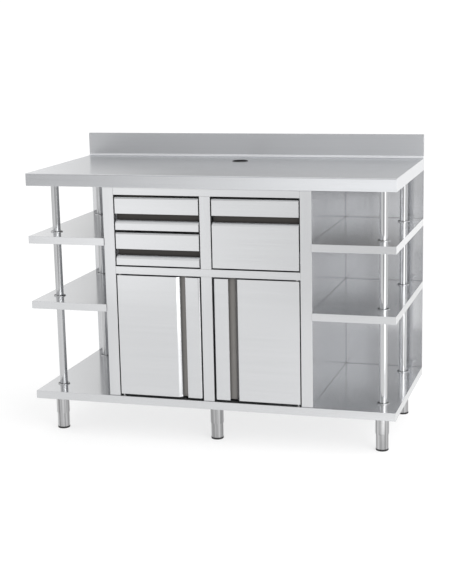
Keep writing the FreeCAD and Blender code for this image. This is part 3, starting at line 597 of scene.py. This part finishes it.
def grown(name, points, tree, values):
    """Plain mesh that a tree makes on a set of points."""
    seed_mesh = bpy.data.meshes.new(f"{name}_points")
    seed_mesh.from_pydata([tuple(point) for point in points], [], [])
    piece = bpy.data.objects.new(name, seed_mesh)
    bpy.context.scene.collection.objects.link(piece)
    modifier = piece.modifiers.new("growth", "NODES")
    modifier.node_group = tree
    for identifier, value in values.items():
        modifier[identifier] = value
    bpy.context.view_layer.update()
    evaluated = piece.evaluated_get(bpy.context.evaluated_depsgraph_get())
    made = bpy.data.meshes.new_from_object(evaluated)
    piece.modifiers.clear()
    piece.data = made
    made.name = name
    return piece


def math_node(tree, operation, first, second):
    """Number worked out in a tree from a socket and a socket or a plain number."""
    node = tree.nodes.new("ShaderNodeMath")
    node.operation = operation
    tree.links.new(first, node.inputs[0])
    if isinstance(second, float):
        node.inputs[1].default_value = second
    else:
        tree.links.new(second, node.inputs[1])
    return node.outputs["Value"]


def on_points(tree, points, piece):
    """Set a copy of a piece on each point."""
    copies = tree.nodes.new("GeometryNodeInstanceOnPoints")
    tree.links.new(points, copies.inputs["Points"])
    tree.links.new(piece, copies.inputs["Instance"])
    return copies.outputs["Instances"]


# Each point is the middle of a washer; the bolt's head hangs below it.
HEAD_CORNERS = 6
WASHER_SIDES = 24
bolt_tree, bolt, given, made = node_tree(
    "hexagon_bolts", ("Flats", "Head Height", "Washer Radius", "Washer Thickness"))
head = bolt_tree.nodes.new("GeometryNodeMeshCylinder")
head.inputs["Vertices"].default_value = HEAD_CORNERS
bolt_tree.links.new(math_node(bolt_tree, "DIVIDE", given.outputs["Flats"], math.sqrt(3)),
                    head.inputs["Radius"])
bolt_tree.links.new(given.outputs["Head Height"], head.inputs["Depth"])
washer = bolt_tree.nodes.new("GeometryNodeMeshCylinder")
washer.inputs["Vertices"].default_value = WASHER_SIDES
bolt_tree.links.new(given.outputs["Washer Radius"], washer.inputs["Radius"])
bolt_tree.links.new(given.outputs["Washer Thickness"], washer.inputs["Depth"])
both_heights = math_node(bolt_tree, "ADD", given.outputs["Head Height"],
                         given.outputs["Washer Thickness"])
offset = bolt_tree.nodes.new("ShaderNodeCombineXYZ")
bolt_tree.links.new(math_node(bolt_tree, "MULTIPLY", both_heights, -0.5), offset.inputs["Z"])
lowered = bolt_tree.nodes.new("GeometryNodeTransform")
bolt_tree.links.new(head.outputs["Mesh"], lowered.inputs["Geometry"])
bolt_tree.links.new(offset.outputs["Vector"], lowered.inputs["Translation"])
both = bolt_tree.nodes.new("GeometryNodeJoinGeometry")
bolt_tree.links.new(lowered.outputs["Geometry"], both.inputs["Geometry"])
bolt_tree.links.new(washer.outputs["Mesh"], both.inputs["Geometry"])
finish_tree(bolt_tree, on_points(bolt_tree, given.outputs["Geometry"], both.outputs["Geometry"]),
            made, turned_steel)

# Each point is the middle of a ring of overlapping beads.
weld_tree, weld, given, made = node_tree("weld_rings", ("Ring Radius", "Bead Radius", "Bead Count"))
circle = weld_tree.nodes.new("GeometryNodeMeshCircle")
weld_tree.links.new(given.outputs["Bead Count"], circle.inputs["Vertices"])
weld_tree.links.new(given.outputs["Ring Radius"], circle.inputs["Radius"])
bead = weld_tree.nodes.new("GeometryNodeMeshIcoSphere")
bead.inputs["Subdivisions"].default_value = 2
weld_tree.links.new(given.outputs["Bead Radius"], bead.inputs["Radius"])
ring = weld_tree.nodes.new("GeometryNodeRealizeInstances")
weld_tree.links.new(on_points(weld_tree, circle.outputs["Mesh"], bead.outputs["Mesh"]),
                    ring.inputs["Geometry"])
finish_tree(weld_tree, on_points(weld_tree, given.outputs["Geometry"], ring.outputs["Geometry"]),
            made, weld_steel)

PLATE_THICKNESS = 3 * MM
BOLT_REACH = 34 * MM
BOLT_FLATS = 10 * MM
BOLT_HEAD_HEIGHT = 4 * MM
WASHER_RADIUS = 7 * MM
WASHER_THICKNESS = 1.2 * MM
BEAD_RADIUS = 1.8 * MM
BEAD_COUNT = 64
BEAD_DROP = 0.4 * MM
SLEEVE_RADIUS = 27 * MM
RING_RADIUS = SLEEVE_RADIUS + 0.5 * MM
plate_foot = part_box("leg_sleeves")[1].z - PLATE_THICKNESS
centres = []
for leg in LEGS:
    low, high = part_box(f"leg_{leg}")
    centres.append(((low.x + high.x) / 2, (low.y + high.y) / 2))
bolt_points = [(x + i * BOLT_REACH, y + j * BOLT_REACH, plate_foot - WASHER_THICKNESS / 2)
               for x, y in centres for i in (-1, 1) for j in (-1, 1)]
bolts = grown("leg_plate_bolts", bolt_points, bolt_tree,
              {bolt["Flats"]: BOLT_FLATS, bolt["Head Height"]: BOLT_HEAD_HEIGHT,
               bolt["Washer Radius"]: WASHER_RADIUS, bolt["Washer Thickness"]: WASHER_THICKNESS})
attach(bolts, "root")
weld_points = [(x, y, plate_foot - BEAD_DROP) for x, y in centres]
sleeve_welds = grown("sleeve_welds", weld_points, weld_tree,
                     {weld["Ring Radius"]: RING_RADIUS, weld["Bead Radius"]: BEAD_RADIUS,
                      weld["Bead Count"]: BEAD_COUNT})
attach(sleeve_welds, "root")

# ---------------------------------------------------------------------------------------------
# Studio: a pale floor, a white surround, two soft boxes and the camera. The floor glows a little.
# The metal mirrors it with a pool of light near the right end of the station.

WHITE = (1.0, 1.0, 1.0, 1)
FLOOR_REACH = 3.0
FLOOR_GREY = (0.4, 0.4, 0.4, 1)
FLOOR_ROUGHNESS = 0.9
FLOOR_GLOW = 0.66
MIRRORED_GLOW = 0.54
POOL_GLOW = 1.4
POOL_PLACE = (1.05, -0.62, 0.0)
POOL_REACH = (0.85, 0.25, 1.0)
corners = [(i * FLOOR_REACH, j * FLOOR_REACH, 0) for i, j in ((-1, -1), (1, -1), (1, 1), (-1, 1))]
floor_mesh = bpy.data.meshes.new("studio_floor")
floor_mesh.from_pydata(corners, [], [(0, 1, 2, 3)])
floor = bpy.data.objects.new("studio_floor", floor_mesh)
bpy.context.scene.collection.objects.link(floor)
floor_paint, nodes, links = new_material("studio_floor_paint")
shader = nodes["Principled BSDF"]
shader.inputs["Base Color"].default_value = FLOOR_GREY
shader.inputs["Roughness"].default_value = FLOOR_ROUGHNESS
shader.inputs["Specular IOR Level"].default_value = 0.0
shader.inputs["Emission Color"].default_value = WHITE
place = nodes.new("ShaderNodeTexCoord")
pool = nodes.new("ShaderNodeMapping")
pool.vector_type = "TEXTURE"
pool.inputs["Location"].default_value = POOL_PLACE
pool.inputs["Scale"].default_value = POOL_REACH
fall_off = nodes.new("ShaderNodeTexGradient")
fall_off.gradient_type = "SPHERICAL"
mirrored_glow = nodes.new("ShaderNodeMapRange")
mirrored_glow.inputs["To Min"].default_value = MIRRORED_GLOW
mirrored_glow.inputs["To Max"].default_value = POOL_GLOW
ray = nodes.new("ShaderNodeLightPath")
glow = nodes.new("ShaderNodeMapRange")
glow.inputs["To Max"].default_value = FLOOR_GLOW
links.new(place.outputs["Object"], pool.inputs["Vector"])
links.new(pool.outputs["Vector"], fall_off.inputs["Vector"])
links.new(fall_off.outputs["Fac"], mirrored_glow.inputs["Value"])
links.new(ray.outputs["Is Camera Ray"], glow.inputs["Value"])
links.new(mirrored_glow.outputs["Result"], glow.inputs["To Min"])
links.new(glow.outputs["Result"], shader.inputs["Emission Strength"])
floor_mesh.materials.append(floor_paint)
floor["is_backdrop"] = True

# The surround is white to the eye. What lights the station and shows in the metal is a room with
# four bands of wall under a ceiling. A band lists azimuths in degrees, 0 straight in front and
# growing to the right, each with the light that comes from there. A band blends into the next one
# between two heights.
SURROUND_LIGHT = 1.05
ROOM_LIGHT = 2.0
BELOW_EYE = [(-180, 1.05), (-160, 1.0), (-135, 0.55), (-110, 0.65), (-82, 0.9), (-50, 0.8),
             (-32, 0.8), (-25, 0.98), (-22, 1.33), (-17, 1.02), (-13, 0.86), (-5, 0.62),
             (3, 0.55), (15, 0.55), (27, 0.5), (50, 0.7), (85, 0.8), (110, 0.9), (135, 0.8),
             (160, 1.1), (180, 1.1)]
LEFT_WALL = [(-180, 0.7), (-171, 0.55), (-166, 0.5), (-162, 0.42), (-159, 0.68), (-154, 1.05),
             (-135, 0.7), (-82, 0.9), (-50, 0.7)]
RIGHT_WALL = [(85, 1.0), (120, 0.8), (160, 1.25), (180, 0.7)]
ABOVE_EYE = [*LEFT_WALL, (-30, 0.36), (-25, 0.42), (-20, 0.64), (-14, 1.38), (-8, 2.0), (3, 1.7),
             (30, 0.9), *RIGHT_WALL]
HIGH_WALL = [*LEFT_WALL, (-30, 0.4), (-20, 0.6), (-14, 0.66), (-8, 0.6), (-3, 0.75), (8, 1.3),
             (22, 1.3), (40, 0.9), *RIGHT_WALL]
OVERHEAD = [(-180, 1.1), (-120, 0.9), (-85, 1.1), (-50, 0.8), (-30, 0.5), (-10, 0.75), (25, 0.7),
            (45, 1.5), (95, 1.5), (130, 1.0), (180, 1.1)]
CEILING = 0.95
EYE_HEIGHT = (-0.05, 0.035)
HIGH_WALL_FOOT = (0.115, 0.17)
OVERHEAD_FOOT = (0.25, 0.45)
CEILING_FOOT = (0.8, 0.97)
world = bpy.data.worlds.new("studio")
bpy.context.scene.world = world
world.use_nodes = True
nodes, links = world.node_tree.nodes, world.node_tree.links
direction = nodes.new("ShaderNodeTexCoord")
quarter_turn = nodes.new("ShaderNodeVectorRotate")
quarter_turn.rotation_type = "Z_AXIS"
quarter_turn.inputs["Angle"].default_value = math.radians(90)
around = nodes.new("ShaderNodeTexGradient")
around.gradient_type = "RADIAL"
links.new(direction.outputs["Generated"], quarter_turn.inputs["Vector"])
links.new(quarter_turn.outputs["Vector"], around.inputs["Vector"])
height = nodes.new("ShaderNodeSeparateXYZ")
links.new(direction.outputs["Generated"], height.inputs["Vector"])


def as_grey(level):
    """Light as a colour of the room."""
    return (level / ROOM_LIGHT, level / ROOM_LIGHT, level / ROOM_LIGHT, 1)


def round_the_room(band):
    """Light of a band by azimuth."""
    ramp = nodes.new("ShaderNodeValToRGB")
    stops = ramp.color_ramp.elements
    for azimuth, level in band[1:-1]:
        stops.new(azimuth / 360 + 0.5)
    for stop, (azimuth, level) in zip(stops, band):
        stop.color = as_grey(level)
    links.new(around.outputs["Fac"], ramp.inputs["Fac"])
    return ramp.outputs["Color"]


def blend_upward(below, above, start, end):
    """Change from one light to another between two heights, as sines of the elevation."""
    rise = nodes.new("ShaderNodeMapRange")
    rise.interpolation_type = "SMOOTHSTEP"
    rise.inputs["From Min"].default_value = start
    rise.inputs["From Max"].default_value = end
    links.new(height.outputs["Z"], rise.inputs["Value"])
    blend = nodes.new("ShaderNodeMixRGB")
    links.new(rise.outputs["Result"], blend.inputs["Fac"])
    links.new(below, blend.inputs["Color1"])
    links.new(above, blend.inputs["Color2"])
    return blend.outputs["Color"]


ceiling = nodes.new("ShaderNodeRGB")
ceiling.outputs["Color"].default_value = as_grey(CEILING)
room = blend_upward(round_the_room(BELOW_EYE), round_the_room(ABOVE_EYE), *EYE_HEIGHT)
room = blend_upward(room, round_the_room(HIGH_WALL), *HIGH_WALL_FOOT)
room = blend_upward(room, round_the_room(OVERHEAD), *OVERHEAD_FOOT)
room = blend_upward(room, ceiling.outputs["Color"], *CEILING_FOOT)
seen = nodes["Background"]
seen.inputs["Color"].default_value = WHITE
seen.inputs["Strength"].default_value = SURROUND_LIGHT
mirrored = nodes.new("ShaderNodeBackground")
mirrored.inputs["Strength"].default_value = ROOM_LIGHT
links.new(room, mirrored.inputs["Color"])
ray = nodes.new("ShaderNodeLightPath")
choice = nodes.new("ShaderNodeMixShader")
links.new(ray.outputs["Is Camera Ray"], choice.inputs["Fac"])
links.new(mirrored.outputs["Background"], choice.inputs[1])
links.new(seen.outputs["Background"], choice.inputs[2])
links.new(choice.outputs["Shader"], nodes["World Output"].inputs["Surface"])


def soft_box(name, place, aim, size, power):
    """Rectangular area light that faces a point."""
    light = bpy.data.lights.new(name, "AREA")
    light.shape = "RECTANGLE"
    light.size, light.size_y = size
    light.energy = power
    lamp = bpy.data.objects.new(name, light)
    lamp.location = place
    lamp.rotation_euler = (Vector(aim) - Vector(place)).to_track_quat("-Z", "Y").to_euler()
    lamp.visible_camera = False
    bpy.context.scene.collection.objects.link(lamp)


soft_box("key_box", place=(3.2, -3.4, 2.6), aim=(0.3, 0, 0.6), size=(1.6, 2.2), power=40)
soft_box("side_panel", place=(1.6, -0.9, 0.7), aim=(0.3, 0.1, 0.6), size=(0.8, 1.7), power=6.3)

# The camera stands in front at the right and looks a little down. It is turned to the left by the
# yaw, and the lens is given in pixels of the image's longer side.
CAMERA_PLACE = (1.54214, -5.21451, 1.70719)
CAMERA_YAW = math.radians(16.72)
CAMERA_PITCH = math.radians(11.91)
CAMERA_ROLL = math.radians(-1.25)
FOCAL_PIXELS = 1327.63
LONG_SIDE_PIXELS = 584
SENSOR = 36.0
forward = Vector((-math.sin(CAMERA_YAW) * math.cos(CAMERA_PITCH),
                  math.cos(CAMERA_YAW) * math.cos(CAMERA_PITCH), -math.sin(CAMERA_PITCH)))
level_right = forward.cross(Vector((0, 0, 1))).normalized()
level_up = level_right.cross(forward)
right = level_right * math.cos(CAMERA_ROLL) + level_up * math.sin(CAMERA_ROLL)
up = level_up * math.cos(CAMERA_ROLL) - level_right * math.sin(CAMERA_ROLL)
optics = bpy.data.cameras.new("camera")
optics.sensor_width = SENSOR
optics.lens = FOCAL_PIXELS / LONG_SIDE_PIXELS * SENSOR
camera = bpy.data.objects.new("camera", optics)
turn = Matrix((right, up, -forward)).transposed().to_4x4()
camera.matrix_world = Matrix.Translation(CAMERA_PLACE) @ turn
bpy.context.scene.collection.objects.link(camera)
bpy.context.scene.camera = camera
bpy.context.scene.view_settings.view_transform = "Standard"

low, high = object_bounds()
